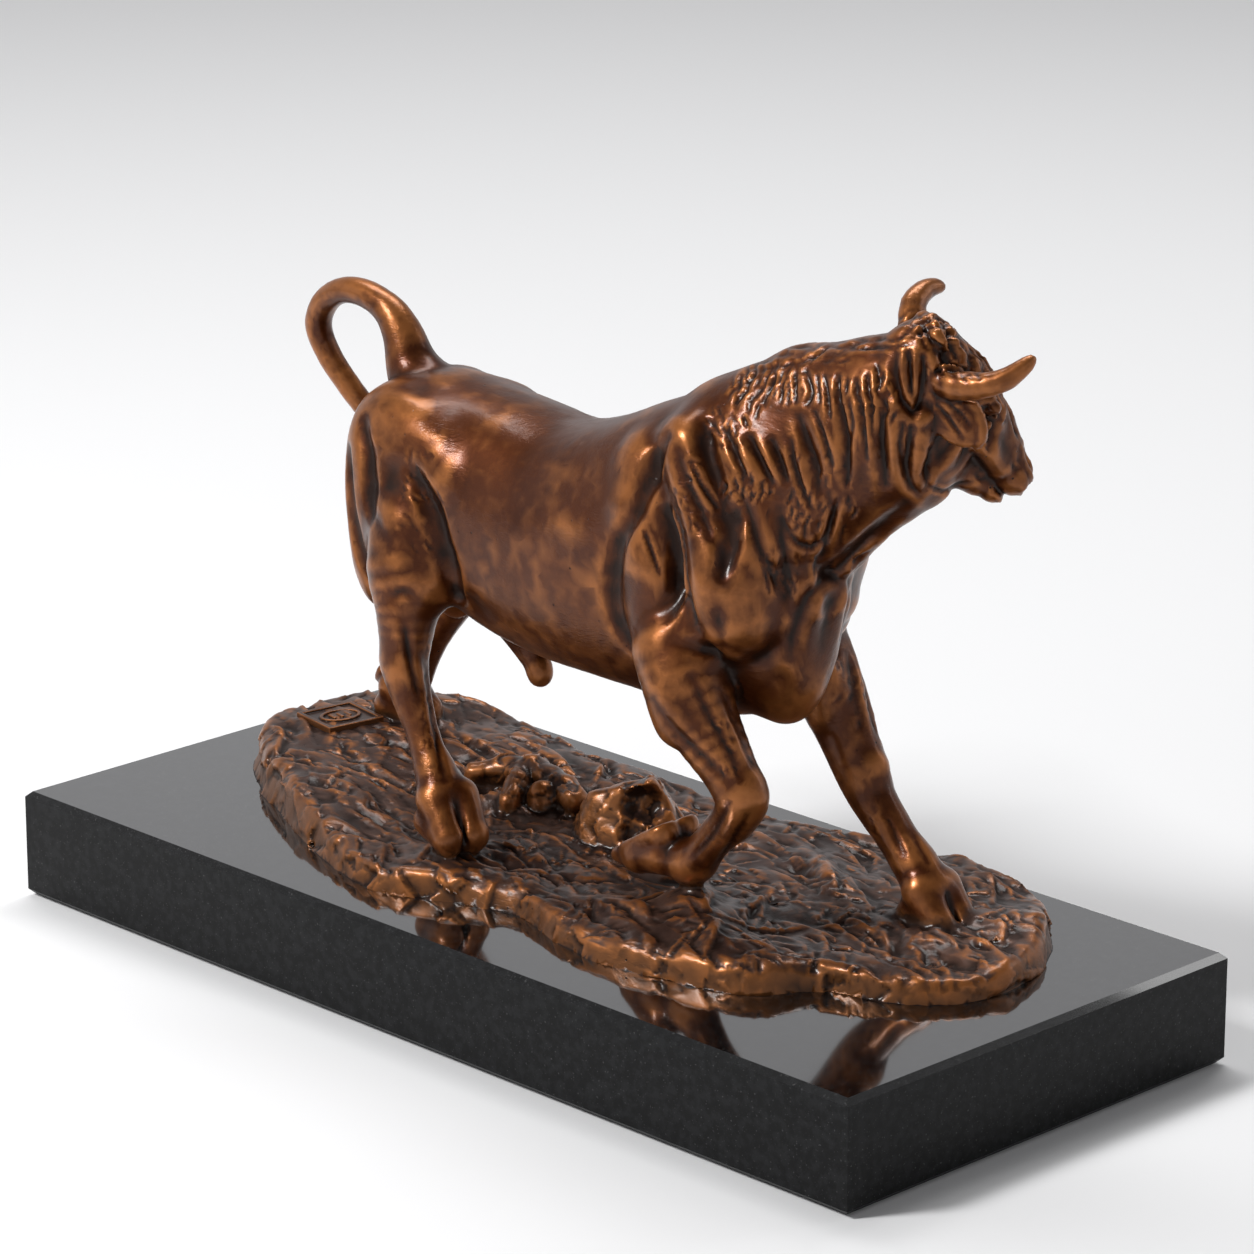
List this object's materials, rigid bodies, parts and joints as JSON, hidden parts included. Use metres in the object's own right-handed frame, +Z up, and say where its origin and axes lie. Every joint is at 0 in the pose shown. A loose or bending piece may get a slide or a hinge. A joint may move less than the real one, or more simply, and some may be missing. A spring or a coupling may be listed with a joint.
{
  "type": "bronze bull sculpture on granite plinth",
  "caption": "Cast bronze striding bull with turned head and raised curved tail, on modelled rocky ground with a small seal plate, fixed to a polished black granite slab.",
  "frame": {"origin": "centre of the granite slab's underside", "axes": "+Z up, +X towards the bull's head along the slab's length, +Y towards the bull's left side"},
  "size_m": [0.4, 0.18, 0.2583],
  "materials": {
    "bronze": "waxed brown patina over cast bronze, satin gloss, dark in hollows and orange-brown on worn edges",
    "seal_bronze": "brown patina with a rubbed lighter rim",
    "granite": "fine-grained black granite, polished on top and honed on the sides"
  },
  "bodies": {
    "root": {"bronze_bull": "bronze", "foundry_seal": "seal_bronze", "granite_plinth": "granite"}
  },
  "joints": []
}
